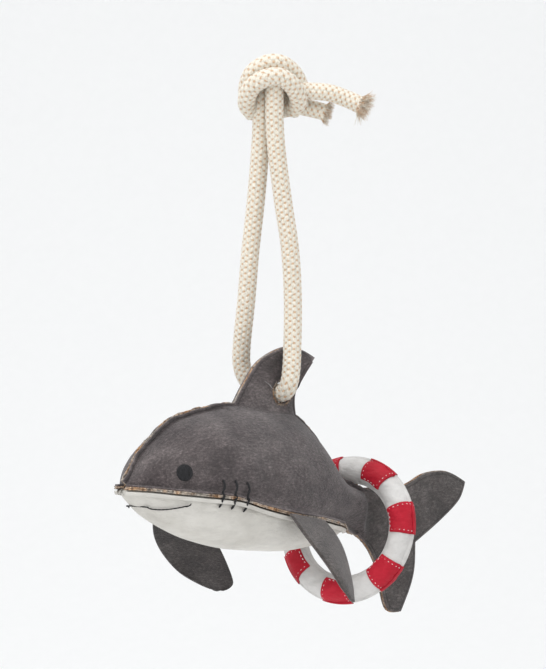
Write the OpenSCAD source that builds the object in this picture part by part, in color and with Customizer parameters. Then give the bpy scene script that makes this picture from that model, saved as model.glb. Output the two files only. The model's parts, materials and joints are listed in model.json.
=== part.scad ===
// Hanging toy shark: a stuffed suede shark on a knotted cotton rope loop,
// with a stuffed life ring around its tail.
// Frame: +Z up, nose toward -X, tail toward +X, the shark's left side toward -Y.
// The origin is the crotch under the knot, where the two rope strands meet.

/* [Shark] */
// Length from the nose to the tip of the tail
shark_len = 375; // [320:1:450]
// Depth of the stuffed body from the back seam to the belly
body_depth = 112; // [95:1:135]
// Width of the stuffed body across the belly seams
body_width = 88; // [74:1:106]
// Diameter of the embroidered eyes
eye_d = 12; // [8:0.5:15]
// Thickness of the black stitching thread
thread_d = 1.8; // [1.4:0.1:2.4]

/* [Leather] */
// Thickness of the suede and of the belly leather
suede_t = 1.6; // [1.2:0.1:2]
// Thickness of the jute backing under each panel
jute_t = 0.8; // [0.6:0.1:1]
// Width of the raw edge that stands out beyond each seam
raw_edge = 3.5; // [2.5:0.1:4]

/* [Side fins] */
// Length of each side fin from its seam to its tip
fin_len = 84; // [68:1:100]
// Width of each side fin where it leaves the seam
fin_root = 44; // [36:1:50]

/* [Rope] */
// Diameter of the braided rope
rope_d = 15; // [12:0.5:16]
// Height from the hole in the back fin up to the knot
hang_drop = 220; // [190:1:270]
// Clearance all round the rope in the hole of the back fin
hole_gap = 1.2; // [0.8:0.1:1.6]

/* [Life ring] */
// Outside diameter of the stuffed ring
ring_d = 122; // [118:1:148]
// Diameter of the stuffed tube of the ring
ring_tube = 19; // [17:0.5:22]
// Thickness of the coloured leather patches
patch_t = 1; // [0.8:0.1:1.4]

/* [Hidden] */
$fn = 48;

// The outlines below were drawn for a shark of this length, depth and width.
drawn_len = 375;
drawn_depth = 112;
drawn_width = 88;
kx = shark_len / drawn_len;
ky = body_width / drawn_width;
kz = body_depth / drawn_depth;

// The hole in the back fin is the shark's own zero point.
hole_at = [12, 0, -hang_drop];
hole_r = rope_d / 2 + hole_gap;
skin = suede_t + jute_t;
free = 0.3;

// Body rows from nose to stem: ridge x and z, seam x, y and z, belly x and z, side bulge, lip turn.
body_rows = [
  [-159, -67.2, -159, 3.4, -70, -159, -72.8, 0.2, 0],
  [-151, -55, -153, 14, -70.5, -151, -82, 1, 0],
  [-143, -44, -144, 22, -71.5, -141, -90, 2, 0],
  [-130, -33, -130, 31, -73.5, -127, -99, 2.5, 0],
  [-111, -21, -109, 38, -76, -109, -108, 3, 0],
  [-82, -14, -82, 43, -79.5, -82, -117, 3, 0],
  [-52, -11, -52, 44, -88, -52, -123, 3, 0],
  [-20, -15, -20, 42, -95, -20, -126, 4, 0],
  [8, -18, 8, 36, -99, 8, -126.5, 5, 0],
  [30, -32, 30, 28, -103, 30, -124.5, 7, 0],
  [52, -59, 50, 18, -107, 50, -119.5, 9, 0],
  [67, -73, 66, 6, -110, 66, -115.5, 12, 45],
  [80, -79, 80, 0, -113, 80, -115, 12.5, 90],
  [88, -82, 88, 0, -117, 88, -120, 9, 90],
  [94, -84, 94, 0, -121, 94, -123, 0, 90]
];
nose = 0;
belly_end = 11;
stem_end = 14;
arch = 78;

// A smooth curve through a list of numbers or points; u counts along the list.
function pick(k, i) = k[max(0, min(len(k) - 1, i))];
function along(k, u) =
  let (i = min(floor(u), len(k) - 2), s = u - i)
  let (a = pick(k, i), b = pick(k, i + 1))
  let (ta = (b - pick(k, i - 1)) / 2, tb = (pick(k, i + 2) - a) / 2)
  a * (2 * s ^ 3 - 3 * s ^ 2 + 1) + b * (3 * s ^ 2 - 2 * s ^ 3)
    + ta * (s ^ 3 - 2 * s ^ 2 + s) + tb * (s ^ 3 - s ^ 2);
function smooth(k, steps) = [for (i = [0:steps * (len(k) - 1)]) along(k, i / steps)];
function unit(v) = v / norm(v);

// The three seam lines of the body, scaled to the chosen sizes.
function ridge(u) = let (r = along(body_rows, u)) [r[0] * kx, 0, r[1] * kz];
function seam(u) = let (r = along(body_rows, u)) [r[2] * kx, r[3] * ky, r[4] * kz];
function belly(u) = let (r = along(body_rows, u)) [r[5] * kx, 0, r[6] * kz];
function bulge(u) = along(body_rows, u)[7] * ky;
function lip_turn(u) = max(0, min(90, along(body_rows, u)[8]));
function ahead(u) = min(u + 0.02, stem_end);
function behind(u) = max(u - 0.02, nose);

// Directions at a seam: out of the back ridge, along the lip, and across the lip.
function ridge_out(u) =
  let (t = unit(ridge(ahead(u)) - ridge(behind(u)))) [-t[2], 0, t[0]];
function lip_out(u) =
  let (t = seam(ahead(u)) - seam(behind(u)), p = unit([-t[1], t[0], 0]), a = lip_turn(u))
  [p[0] * cos(a), p[1] * cos(a), -sin(a)];
function lip_up(u) = let (a = lip_turn(u)) [0, sin(a), cos(a)];

// One point of the side panel at depth d under the outer face; t runs from seam to ridge.
function side_root(u, d) = seam(u) + lip_up(u) * (skin - d) - lip_out(u) * d;
function side_top(u, d) = ridge(u) - ridge_out(u) * d + [0, skin - d, 0];
function side_point(u, t, d) =
  let (a = side_root(u, d), b = side_top(u, d))
  let (fy = (cos(arch * t) - cos(arch)) / (1 - cos(arch)), fz = sin(arch * t) / sin(arch))
  [a[0] + (b[0] - a[0]) * fz, b[1] + (a[1] - b[1]) * fy + bulge(u) * sin(180 * t), a[2] + (b[2] - a[2]) * fz];

// One point of the belly at depth d; w runs from 0 at the right seam to 180 at the left.
function belly_root(u, d) = seam(u) - lip_up(u) * (skin - d) - lip_out(u) * d;
function belly_point(u, w, d) =
  let (a = belly_root(u, d), b = belly(u) + [0, 0, d])
  [a[0] + (b[0] - a[0]) * sin(w), a[1] * cos(w), a[2] + (b[2] - a[2]) * sin(w)];
function mirrored(p) = [p[0], -p[1], p[2]];

side_steps = 7;
belly_steps = 12;
// Stations along the body, closer together on the nose and on the rounded stem end.
stations = concat([for (u = [0:0.25:2]) u], [for (u = [2.5:0.5:12]) u], [for (u = [12.25:0.25:14]) u]);
belly_stations = [for (u = stations) if (u <= belly_end) u];
stem_stations = [for (u = stations) if (u >= belly_end && u < stem_end) u];

// Rows of points across the panel, raw edges included.
function side_rows(u, d) = concat(
  [side_root(u, d) + lip_out(u) * (raw_edge + d)],
  [for (j = [0:side_steps]) side_point(u, j / side_steps, d)],
  [side_top(u, d) + ridge_out(u) * (raw_edge + d)]
);
function belly_rows(u, d) = concat(
  [belly_root(u, d) + lip_out(u) * (raw_edge + d)],
  [for (j = [0:belly_steps]) belly_point(u, 180 * j / belly_steps, d)],
  [mirrored(belly_root(u, d) + lip_out(u) * (raw_edge + d))]
);

// A closed sheet between an outer and an inner grid of points.
module sheet(outer, inner) {
  n = len(outer);
  m = len(outer[0]);
  half = n * m;
  points = [for (g = [outer, inner]) for (row = g) for (p = row) p];
  outer_faces = [
    for (i = [0:n - 2]) for (j = [0:m - 2])
      let (a = i * m + j, b = a + m, c = b + 1, d = a + 1)
      each [[a, b, c], [a, c, d]]
  ];
  inner_faces = [for (f = outer_faces) [f[2] + half, f[1] + half, f[0] + half]];
  ends = [
    for (j = [0:m - 2]) let (a = j, b = j + 1) each [[a, b, b + half], [a, b + half, a + half]],
    for (j = [0:m - 2])
      let (a = (n - 1) * m + j, b = a + 1) each [[b, a, a + half], [b, a + half, b + half]]
  ];
  sides = [
    for (i = [0:n - 2]) let (a = i * m, b = a + m) each [[b, a, a + half], [b, a + half, b + half]],
    for (i = [0:n - 2])
      let (a = i * m + m - 1, b = a + m) each [[a, b, b + half], [a, b + half, a + half]]
  ];
  polyhedron(points, concat(outer_faces, inner_faces, ends, sides), convexity = 8);
}

// A closed skin over a list of closed rings, capped with a fan at each end.
module loft(rings) {
  n = len(rings);
  m = len(rings[0]);
  first = n * m;
  points = concat([for (r = rings) each r], [centre_of(rings[0]), centre_of(rings[n - 1])]);
  walls = [
    for (i = [0:n - 2]) for (j = [0:m - 1])
      let (k = (j + 1) % m, a = i * m + j, b = i * m + k, c = b + m, d = a + m)
      each [[a, d, c], [a, c, b]]
  ];
  caps = [
    for (j = [0:m - 1]) let (k = (j + 1) % m) each [
      [j, k, first],
      [(n - 1) * m + k, (n - 1) * m + j, first + 1]
    ]
  ];
  polyhedron(points, concat(walls, caps), convexity = 6);
}
function centre_of(ring) = let (m = len(ring)) [for (k = [0:2]) sum([for (p = ring) p[k]]) / m];
function sum(v, i = 0) = i >= len(v) ? 0 : v[i] + sum(v, i + 1);

// A round cord through a list of points; ref is any direction the cord never follows.
cord_sides = 10;
module cord(route, d, ref) {
  n = len(route);
  loft([
    for (i = [0:n - 1])
      let (t = unit(pick(route, i + 1) - pick(route, i - 1)), a = unit(cross(t, ref)), b = cross(t, a))
      [for (k = [0:cord_sides - 1]) let (w = 360 * k / cord_sides) route[i] + (a * cos(w) + b * sin(w)) * d / 2]
  ]);
}

// Back fin outline above the ridge: leading edge, tip, trailing edge.
fin_front = [[-50, -10], [-38, 8], [-22, 26], [4, 36.5], [22, 34.5], [37, 28]];
fin_rear = [[37, 28], [22, 11], [15, -4], [17, -23]];
fin_from = 6.05;
fin_to = 8.35;

// Tail outline: top edge, trailing edges, lower lobe and its leading edge.
tail_joint = 98;
tail_top = [[tail_joint, -80.5], [125, -83], [146, -78], [164, -71], [190, -70], [212, -79]];
tail_upper_rear = [[212, -79], [204, -94], [180, -111], [152, -127]];
tail_lower_rear = [[152, -127], [151, -148], [146, -164], [135, -184]];
tail_lower_front = [[135, -184], [121, -182], [114, -166], [109, -146], [tail_joint, -128]];

function scaled(outline) = [for (p = outline) [p[0] * kx, p[1] * kz]];
function ridge_edge(from, to) = [for (i = [0:8]) let (p = ridge(from + (to - from) * i / 8)) [p[0], p[2]]];

// A flat plate of the given outline, standing on the centre plane between two distances from it.
module plate(outline, near_y, far_y) {
  translate([0, far_y, 0])
    rotate([90, 0, 0])
      linear_extrude(height = far_y - near_y)
        polygon(outline);
}

module at_shark() translate(hole_at) children();
module left_half() mirror([0, 1, 0]) children();

module back_fin_plate(near_y, far_y) {
  difference() {
    plate(
      concat(
        scaled(smooth(fin_front, 4)),
        scaled(smooth(fin_rear, 4)),
        [for (i = [8:-1:0]) ridge_edge(fin_from, fin_to)[i]]
      ),
      near_y, far_y
    );
    rotate([90, 0, 0]) cylinder(r = hole_r, h = 40, center = true);
  }
}

module side_sheet(outer_d, inner_d) {
  sheet([for (u = stations) side_rows(u, outer_d)], [for (u = stations) side_rows(u, inner_d)]);
  back_fin_plate(skin - inner_d, skin - outer_d);
}

module side_panel() color([0.42, 0.39, 0.38]) side_sheet(0, suede_t);
module side_backing() color([0.62, 0.47, 0.32]) side_sheet(suede_t, skin);

module right_side_panel() at_shark() side_panel();
module left_side_panel() at_shark() left_half() side_panel();
module right_backing() at_shark() side_backing();
module left_backing() at_shark() left_half() side_backing();

module belly_sheet(outer_d, inner_d) {
  sheet(
    [for (u = belly_stations) belly_rows(u, inner_d)],
    [for (u = belly_stations) belly_rows(u, outer_d)]
  );
}
module belly_panel() at_shark() color([0.87, 0.86, 0.83]) belly_sheet(0, suede_t);
module belly_backing() at_shark() color([0.62, 0.47, 0.32]) belly_sheet(suede_t, skin);

// Stuffing, a little clear of the backing.
inside = skin + free;
function stem_ring(u) =
  let (root = side_root(u, inside), top = side_top(u, inside))
  let (half = [for (j = [1:side_steps - 1]) side_point(u, j / side_steps, inside)])
  concat([[root[0], 0, root[2]]], half, [[top[0], 0, top[2]]], [for (j = [side_steps - 2:-1:0]) mirrored(half[j])]);
function body_ring(u) =
  let (top = side_top(u, inside), half = [for (j = [0:side_steps - 1]) side_point(u, j / side_steps, inside)])
  concat(
    half,
    [[top[0], 0, top[2]]],
    [for (j = [side_steps - 1:-1:0]) mirrored(half[j])],
    [for (j = [belly_steps - 1:-1:1]) belly_point(u, 180 * j / belly_steps, inside)]
  );
module body_stuffing() at_shark() color([0.93, 0.91, 0.86]) loft([for (u = belly_stations) if (u > nose) body_ring(u)]);
module stem_stuffing() at_shark() color([0.93, 0.91, 0.86]) loft([for (u = stem_stations) stem_ring(u)]);

// Eyes, gill stitches and mouth lie on the outside of the leather.
eye_u = 3.2;
eye_t = 0.23;
function side_normal(u, t) = unit(cross(
  side_point(u + 0.1, t, 0) - side_point(u - 0.1, t, 0),
  side_point(u, t + 0.03, 0) - side_point(u, t - 0.03, 0)
));
module eye() {
  n = -side_normal(eye_u, eye_t);
  p = side_point(eye_u, eye_t, 0) + n * free;
  color([0.08, 0.08, 0.09])
    translate(p)
      rotate([0, acos(n[2]), atan2(n[1], n[0])])
        cylinder(d = eye_d, h = 1.2);
}
module right_eye() at_shark() eye();
module left_eye() at_shark() left_half() eye();

gill_first = 4.45;
gill_step = 0.39;
gills = 3;
module gill_stitches() {
  lift = thread_d / 2 + 0.5;
  color([0.08, 0.08, 0.09])
    for (i = [0:gills - 1]) {
      u = gill_first + i * gill_step;
      out = lip_out(u);
      top = side_point(u + 0.06, 0.12, 0) - side_normal(u, 0.12) * lift;
      low = belly_point(u - 0.06, 14, 0) + out * lift;
      edge = seam(u) + out * (raw_edge + lift + 0.6);
      cord([top, edge + [0, 0, skin], edge - [0, 0, skin], low], thread_d, [1, 0, 0]);
    }
}
module right_gill_stitches() at_shark() gill_stitches();
module left_gill_stitches() at_shark() left_half() gill_stitches();

// The mouth runs round the front of the belly panel at one height, its ends turned up.
mouth_z = -85.5;
mouth_from = 1.46;
mouth_to = 3.55;
mouth_steps = 12;
function mouth_angle(u) =
  let (a = belly_root(u, 0)[2], b = belly(u)[2]) asin(min(1, (a - mouth_z * kz) / (a - b)));
function mouth_point(u) =
  let (w = mouth_angle(u), p = belly_point(u, w, 0))
  p + unit([-0.6 * sin(w), cos(w), -sin(w)]) * (thread_d / 2 + 0.6);
module mouth_stitch() {
  half = [for (i = [0:mouth_steps]) mouth_point(mouth_from + (mouth_to - mouth_from) * i / mouth_steps)];
  at_shark()
    color([0.08, 0.08, 0.09])
      cord(
        concat([for (i = [mouth_steps:-1:0]) mirrored(half[i])], half),
        thread_d, [0, 0, 1]
      );
}

// Tail: two suede sheets with jute between, rounded where they bend at the end of the stem.
module tail_plate(near_y, far_y) {
  intersection() {
    plate(
      scaled(concat(
        [[tail_joint - 6, -80.5]],
        smooth(tail_top, 4),
        smooth(tail_upper_rear, 4),
        smooth(tail_lower_rear, 4),
        smooth(tail_lower_front, 4),
        [[tail_joint - 6, -128]]
      )),
      near_y, far_y
    );
    union() {
      translate([tail_joint * kx, 0, -250]) cylinder(r = skin, h = 250);
      translate([tail_joint * kx, -10, -250]) cube([200 * kx, 20, 250]);
    }
  }
}
module right_tail_panel() at_shark() color([0.34, 0.32, 0.32]) tail_plate(jute_t, skin);
module left_tail_panel() at_shark() left_half() color([0.34, 0.32, 0.32]) tail_plate(jute_t, skin);
module tail_backing() at_shark() color([0.62, 0.47, 0.32]) tail_plate(-jute_t, jute_t);

// Side fins: one curved suede flap each, hinged on the belly seam.
fin_t = suede_t + 0.6;
left_fin_widths = [1, 1.14, 1.16, 1.04, 0.84, 0.56, 0.2];
right_fin_widths = [1, 1.18, 1.32, 1.4, 1.34, 1.14, 0.66];
fin_steps = 12;
fin_across = 6;
left_fin_axis = [[-33, -49, -93.5], [11, -42, -101.5]];
right_fin_axis = [[-80, 50.5, -84], [-36, 50, -92.5]];
function fin_axis(ends) = [for (p = ends) [p[0] * kx, p[1] * ky, p[2] * kz]];

// The flap leaves the seam at droop[0] below level and has turned to droop[1] at its tip.
module fin_flap(ends, side, droop, sweep, widths) {
  a = fin_axis(ends);
  mid = (a[0] + a[1]) / 2;
  along_seam = unit(a[1] - a[0]);
  step = fin_len / fin_steps;
  line = [for (i = [0:fin_steps])
    let (angles = [for (k = [0:1:i - 1]) droop[0] + (droop[1] - droop[0]) * (k + 0.5) / fin_steps])
    [sweep * (i / fin_steps) ^ 1.4, step * sum([for (w = angles) cos(w)]), -step * sum([for (w = angles) sin(w)])]
  ];
  grid = function (off) [for (i = [0:fin_steps])
    let (s = i / fin_steps, droop_here = droop[0] + (droop[1] - droop[0]) * s, half = along(widths, 6 * s) * fin_root / 2)
    let (turn = 24 * s, chord = unit(along_seam * cos(turn) + [0, -side * sin(turn), 0]))
    let (face = [0, side * sin(droop_here), cos(droop_here)])
    [for (j = [0:fin_across])
      let (b = 2 * j / fin_across - 1)
      mid + [line[i][0], side * line[i][1], line[i][2]] + chord * b * half + face * (off - 5 * s * b * b)]
  ];
  if (side > 0) sheet(grid(-fin_t / 2), grid(fin_t / 2));
  else sheet(grid(fin_t / 2), grid(-fin_t / 2));
}
module left_fin() at_shark() color([0.34, 0.32, 0.31]) fin_flap(left_fin_axis, -1, [38, 86], 4, left_fin_widths);
module right_fin() at_shark() color([0.3, 0.28, 0.28]) fin_flap(right_fin_axis, 1, [46, 88], 60, right_fin_widths);

// Life ring: two leather covers sewn at the inner and outer edge, stuffing, and patches.
ring_leather = 1.2;
ring_edge = 1.8;
ring_r = ring_tube / 2;
ring_R = ring_d / 2 - ring_edge - ring_r;
ring_yaw = 17.6;
ring_pitch = 13;
ring_gap = 0.9;
bands = 7;
band_first = 24;
// The ring hangs on the raw edge along the top of the stem, at this row of the body.
hang_u = 12.3;
ring_up = [sin(ring_pitch) * cos(ring_yaw), sin(ring_pitch) * sin(ring_yaw), cos(ring_pitch)];
ring_hangs_on = ridge(hang_u) + ridge_out(hang_u) * (raw_edge + ring_gap);
ring_centre = ring_hangs_on - ring_up * (ring_R - ring_r - ring_edge) - [0, ring_hangs_on[1], 0];
module at_ring() {
  at_shark()
    translate([ring_centre[0], 0, ring_centre[2]])
      rotate([0, 0, ring_yaw])
        rotate([0, -90 + ring_pitch, 0])
          children();
}
// Half of the tube's cross-section between two radii, on one side of the seam plane.
module tube_half(r_out, r_in, edge) {
  intersection() {
    difference() {
      union() {
        circle(r = r_out);
        translate([-r_out - edge, -ring_leather]) square([2 * (r_out + edge), 2 * ring_leather]);
      }
      circle(r = r_in);
    }
    translate([-2 * r_out, 0]) square([4 * r_out, 2 * r_out]);
  }
}
module ring_cover() rotate_extrude($fn = 96) translate([ring_R, 0]) tube_half(ring_r, ring_r - ring_leather, ring_edge);
module ring_patches() {
  for (i = [0:bands - 1])
    rotate([0, 0, band_first + i * 360 / bands - 90 / bands])
      rotate_extrude(angle = 180 / bands, $fn = 96)
        translate([ring_R, 0])
          intersection() {
            difference() {
              circle(r = ring_r + patch_t);
              circle(r = ring_r);
            }
            translate([-0.72 * ring_r, ring_leather + free]) square(2 * ring_r);
          }
}
module ring_front_cover() at_ring() color([0.9, 0.89, 0.87]) ring_cover();
module ring_back_cover() at_ring() color([0.9, 0.89, 0.87]) mirror([0, 0, 1]) ring_cover();
module ring_stuffing() at_ring() color([0.93, 0.91, 0.86])
  rotate_extrude($fn = 96) translate([ring_R, 0]) circle(r = ring_r - ring_leather - free);
module ring_front_patches() at_ring() color([0.75, 0.06, 0.17]) ring_patches();
module ring_back_patches() at_ring() color([0.75, 0.06, 0.17]) mirror([0, 0, 1]) ring_patches();

// Rope: two strands from the middle of the fin hole up to the knot, the knot and two ends.
rope_r = rope_d / 2;
strand_gap = rope_r + 0.2;
near_route = [
  [12, 0, 0], [12, -6, 0], [12.5, -13, 5], [13, -16, 16], [15, -14, 36], [16, -12, 74], [13.5, -11.5, 114],
  [8, -9, 154], [2, -8, 194], [0, -strand_gap, 210], [0, -strand_gap, 220]
];
far_route = [
  [12, 0, 0], [12, 7, 0], [10, 18, 1], [6, 28, 7], [2, 33, 19], [0, 32, 36], [-2, 24, 74], [-2, 19, 114],
  [-1, 13.5, 154], [-0.5, 9, 194], [0, strand_gap, 210], [0, strand_gap, 220]
];
drawn_drop = 220;
// The straight stretches lengthen with the drop; the bend through the hole stays as it is.
bend_top = 36;
function lifted(z) = z <= bend_top ? z - hang_drop
  : bend_top - hang_drop + (z - bend_top) * (hang_drop - bend_top) / (drawn_drop - bend_top);
function strand(route) = smooth([for (p = route) [p[0], p[1], lifted(p[2])]], 2);
module rope_near_strand() color([0.89, 0.86, 0.8]) cord(strand(near_route), rope_d, [1, 0, 0]);
module rope_far_strand() color([0.89, 0.86, 0.8]) cord(strand(far_route), rope_d, [1, 0, 0]);

knot_w = 3.5 * rope_d;
module rope_knot() {
  color([0.89, 0.86, 0.8])
    intersection() {
      hull() {
        translate([-6, 5, 0.45 * knot_w]) sphere(d = 0.72 * knot_w, $fn = 32);
        translate([8, -7, 0.5 * knot_w]) sphere(d = 0.7 * knot_w, $fn = 32);
        translate([0, 0, 3]) cylinder(d = 2.3 * rope_d, h = 6, center = true, $fn = 32);
      }
      translate([-100, -100, 0]) cube(200);
    }
}
front_end_route = [[15, -13, 22], [26, -23, 21.5], [37, -33, 20], [48, -42, 15], [57, -51, 9]];
back_end_route = [[18, 0, 12], [27, -7, 10.5], [36, -15, 8], [46, -24, 4]];
module rope_front_end() color([0.89, 0.86, 0.8]) cord(smooth(front_end_route, 2), 0.92 * rope_d, [0, 0, 1]);
module rope_back_end() color([0.89, 0.86, 0.8]) cord(smooth(back_end_route, 2), 0.92 * rope_d, [0, 0, 1]);

rope_near_strand();
rope_far_strand();
rope_knot();
rope_front_end();
rope_back_end();
left_side_panel();
right_side_panel();
left_backing();
right_backing();
belly_panel();
belly_backing();
body_stuffing();
stem_stuffing();
left_eye();
right_eye();
left_gill_stitches();
right_gill_stitches();
mouth_stitch();
left_tail_panel();
right_tail_panel();
tail_backing();
left_fin();
right_fin();
ring_front_cover();
ring_back_cover();
ring_stuffing();
ring_front_patches();
ring_back_patches();
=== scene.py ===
# %% [markdown]
# # A stuffed suede shark on a rope
# The real toy is sewn, stuffed and tied: suede sides, a leather belly, a braided rope through the
# back fin and a stuffed ring round the tail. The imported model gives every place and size. This lesson
# puts soft pieces with real finishes over it, and each one rides on the moving body it belongs to.

# %% Open the frame
import json
import math
import bpy
import numpy as np
from mathutils import Matrix, Vector

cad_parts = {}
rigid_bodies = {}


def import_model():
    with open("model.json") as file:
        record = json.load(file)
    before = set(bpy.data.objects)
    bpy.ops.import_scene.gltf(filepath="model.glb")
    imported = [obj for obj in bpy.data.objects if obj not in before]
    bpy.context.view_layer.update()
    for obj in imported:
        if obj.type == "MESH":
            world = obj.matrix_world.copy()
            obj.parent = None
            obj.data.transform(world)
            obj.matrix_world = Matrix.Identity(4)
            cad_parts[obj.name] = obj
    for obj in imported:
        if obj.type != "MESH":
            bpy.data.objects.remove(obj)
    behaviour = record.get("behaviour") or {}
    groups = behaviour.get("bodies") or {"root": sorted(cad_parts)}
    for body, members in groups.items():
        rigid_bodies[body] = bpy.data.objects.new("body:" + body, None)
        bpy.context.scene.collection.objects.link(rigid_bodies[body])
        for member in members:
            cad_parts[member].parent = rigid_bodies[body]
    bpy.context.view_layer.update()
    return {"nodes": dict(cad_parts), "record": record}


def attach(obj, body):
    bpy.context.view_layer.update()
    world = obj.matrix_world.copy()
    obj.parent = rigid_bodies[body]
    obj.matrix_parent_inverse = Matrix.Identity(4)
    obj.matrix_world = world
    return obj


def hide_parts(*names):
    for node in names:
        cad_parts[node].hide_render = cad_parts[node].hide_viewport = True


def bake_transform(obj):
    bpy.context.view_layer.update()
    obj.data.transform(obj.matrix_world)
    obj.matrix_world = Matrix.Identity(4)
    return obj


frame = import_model()
record = frame["record"]
joints = {joint["name"]: joint for joint in record["behaviour"]["joints"]}
MM = 0.001

# %% [markdown]
# ## Camera
# The toy is seen a little from its nose, level with it, through a long lens, so that the near and the
# far side keep nearly the same scale. The camera comes first, because cords must stay in its view.

# %% Camera
look_at = Vector((0.00297, -0.00268, -0.1732))
toward = Vector((-0.669, -0.743, 0.0)).normalized()
across = Vector((0.743, -0.669, 0.0)).normalized()
camera_data = bpy.data.cameras.new("camera")
camera_data.lens = 148
camera_data.sensor_width = 36
camera = bpy.data.objects.new("camera", camera_data)
bpy.context.collection.objects.link(camera)
camera.location = look_at + toward * 2.2
camera.rotation_euler = (look_at - camera.location).to_track_quat("-Z", "Y").to_euler()
bpy.context.scene.camera = camera
print("camera at", tuple(round(c, 3) for c in camera.location))


# %% [markdown]
# ## Helpers for soft sheets and round cords
# Leather panels and cords are sheets wrapped over a curved form. A grid of points in rows and columns
# is the simplest honest way to say such a form, and Solidify then gives the sheet its real thickness.

# %% Sheets and tubes from grids
def mesh_piece(name, points, faces):
    mesh = bpy.data.meshes.new(name)
    mesh.from_pydata([tuple(p) for p in points], [], faces)
    mesh.validate()
    piece = bpy.data.objects.new(name, mesh)
    bpy.context.collection.objects.link(piece)
    mesh.polygons.foreach_set("use_smooth", [True] * len(mesh.polygons))
    return piece


def grid_faces(rows, columns, closed=False, flip=False):
    faces = []
    for i in range(rows - 1):
        for j in range(columns if closed else columns - 1):
            k = (j + 1) % columns
            quad = (i * columns + j, i * columns + k, (i + 1) * columns + k, (i + 1) * columns + j)
            faces.append(quad[::-1] if flip else quad)
    return faces


def only(piece):
    bpy.ops.object.select_all(action="DESELECT")
    piece.select_set(True)
    bpy.context.view_layer.objects.active = piece


def face_toward(piece, way):
    if sum(np.dot(face.normal, way) for face in piece.data.polygons) < 0:
        piece.data.flip_normals()


def face_outward(piece):
    only(piece)
    bpy.ops.object.mode_set(mode="EDIT")
    bpy.ops.mesh.select_all(action="SELECT")
    bpy.ops.mesh.normals_make_consistent(inside=False)
    bpy.ops.object.mode_set(mode="OBJECT")


def add_value(piece, name, values):
    layer = piece.data.attributes.new(name, "FLOAT", "POINT")
    layer.data.foreach_set("value", np.asarray(values, dtype=float).ravel())


def thicken(piece, thickness, rim_material=0):
    only(piece)
    solid = piece.modifiers.new("thickness", "SOLIDIFY")
    solid.thickness = thickness
    solid.offset = -1
    solid.material_offset_rim = rim_material
    bpy.ops.object.modifier_apply(modifier=solid.name)
    return piece


def unit(v):
    v = np.asarray(v, dtype=float)
    return v / max(np.linalg.norm(v), 1e-12)


def along(table, u):
    table = np.asarray(table, dtype=float)
    i = int(min(math.floor(u), len(table) - 2))
    s = u - i
    a, b = table[i], table[i + 1]
    before, after = table[max(i - 1, 0)], table[min(i + 2, len(table) - 1)]
    start, end = (b - before) / 2, (after - a) / 2
    return (a * (2 * s**3 - 3 * s**2 + 1) + b * (3 * s**2 - 2 * s**3)
            + start * (s**3 - 2 * s**2 + s) + end * (s**3 - s**2))


def smooth_line(points, spacing):
    fine = np.array([along(points, k / 24) for k in range(24 * (len(points) - 1) + 1)])
    length = np.concatenate([[0], np.cumsum(np.linalg.norm(np.diff(fine, axis=0), axis=1))])
    count = max(int(length[-1] / spacing), 4)
    want = np.linspace(0, length[-1], count + 1)
    return np.stack([np.interp(want, length, fine[:, k]) for k in range(3)], axis=1), length[-1]


def side_frames(line):
    tangent = np.gradient(line, axis=0)
    tangent /= np.linalg.norm(tangent, axis=1)[:, None]
    side = unit(np.cross(tangent[0], (0.31, 0.17, 0.93)))
    sides = []
    for t in tangent:
        side = unit(side - t * np.dot(side, t))
        sides.append(side)
    sides = np.array(sides)
    return sides, np.cross(tangent, sides)


def wobble(points, size, seed=0.0):
    p = np.asarray(points) / size + seed
    x, y, z = p[..., 0], p[..., 1], p[..., 2]
    return (np.sin(x * 1.7 + 1.3 * np.sin(y * 1.1 + 0.7 * z)) + np.sin(y * 1.9 + 1.1 * np.sin(z * 1.3 + 0.9 * x))
            + np.sin(z * 1.6 + 1.2 * np.sin(x * 1.2 + 0.8 * y))) / 3


print("helpers ready")


# %% [markdown]
# ## Finishes
# Suede has a short nap that catches light from the side, so its base is rough with a little sheen
# and its colour drifts in soft patches. Smooth leather is calmer and has fine creases. Jute is a
# coarse weave. Each finish is made of noise on object coordinates, in metres.

# %% Material helper
def finish_of(name, base, roughness, sheen=0.0):
    material = bpy.data.materials.new(name)
    material.use_nodes = True
    nodes = material.node_tree.nodes
    shader = nodes["Principled BSDF"]
    shader.inputs["Base Color"].default_value = (*base, 1)
    shader.inputs["Roughness"].default_value = roughness
    shader.inputs["Sheen Weight"].default_value = sheen
    shader.inputs["Specular IOR Level"].default_value = 0.3
    return material, material.node_tree, shader


def noise(tree, scale, detail=4.0, stretch=None, rough=0.55):
    place = tree.nodes.new("ShaderNodeTexCoord").outputs["Object"]
    if stretch:
        mapping = tree.nodes.new("ShaderNodeMapping")
        mapping.inputs["Scale"].default_value = stretch
        tree.links.new(place, mapping.inputs["Vector"])
        place = mapping.outputs["Vector"]
    texture = tree.nodes.new("ShaderNodeTexNoise")
    texture.inputs["Scale"].default_value = scale
    texture.inputs["Detail"].default_value = detail
    texture.inputs["Roughness"].default_value = rough
    tree.links.new(place, texture.inputs["Vector"])
    return texture.outputs["Fac"]


def ramp(tree, value, stops):
    node = tree.nodes.new("ShaderNodeValToRGB")
    ramp_data = node.color_ramp
    while len(ramp_data.elements) < len(stops):
        ramp_data.elements.new(0.5)
    for element, (place, color) in zip(ramp_data.elements, stops):
        element.position = place
        element.color = (*color, 1) if len(color) == 3 else color
    tree.links.new(value, node.inputs["Fac"])
    return node.outputs["Color"]


def blend_color(tree, kind, amount, first, second):
    node = tree.nodes.new("ShaderNodeMix")
    node.data_type = "RGBA"
    node.blend_type = kind
    for socket, value in ((node.inputs[0], amount), (node.inputs[6], first), (node.inputs[7], second)):
        if hasattr(value, "links"):
            tree.links.new(value, socket)
        elif isinstance(value, tuple):
            socket.default_value = (*value, 1)
        else:
            socket.default_value = value
    return node.outputs[2]


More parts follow.
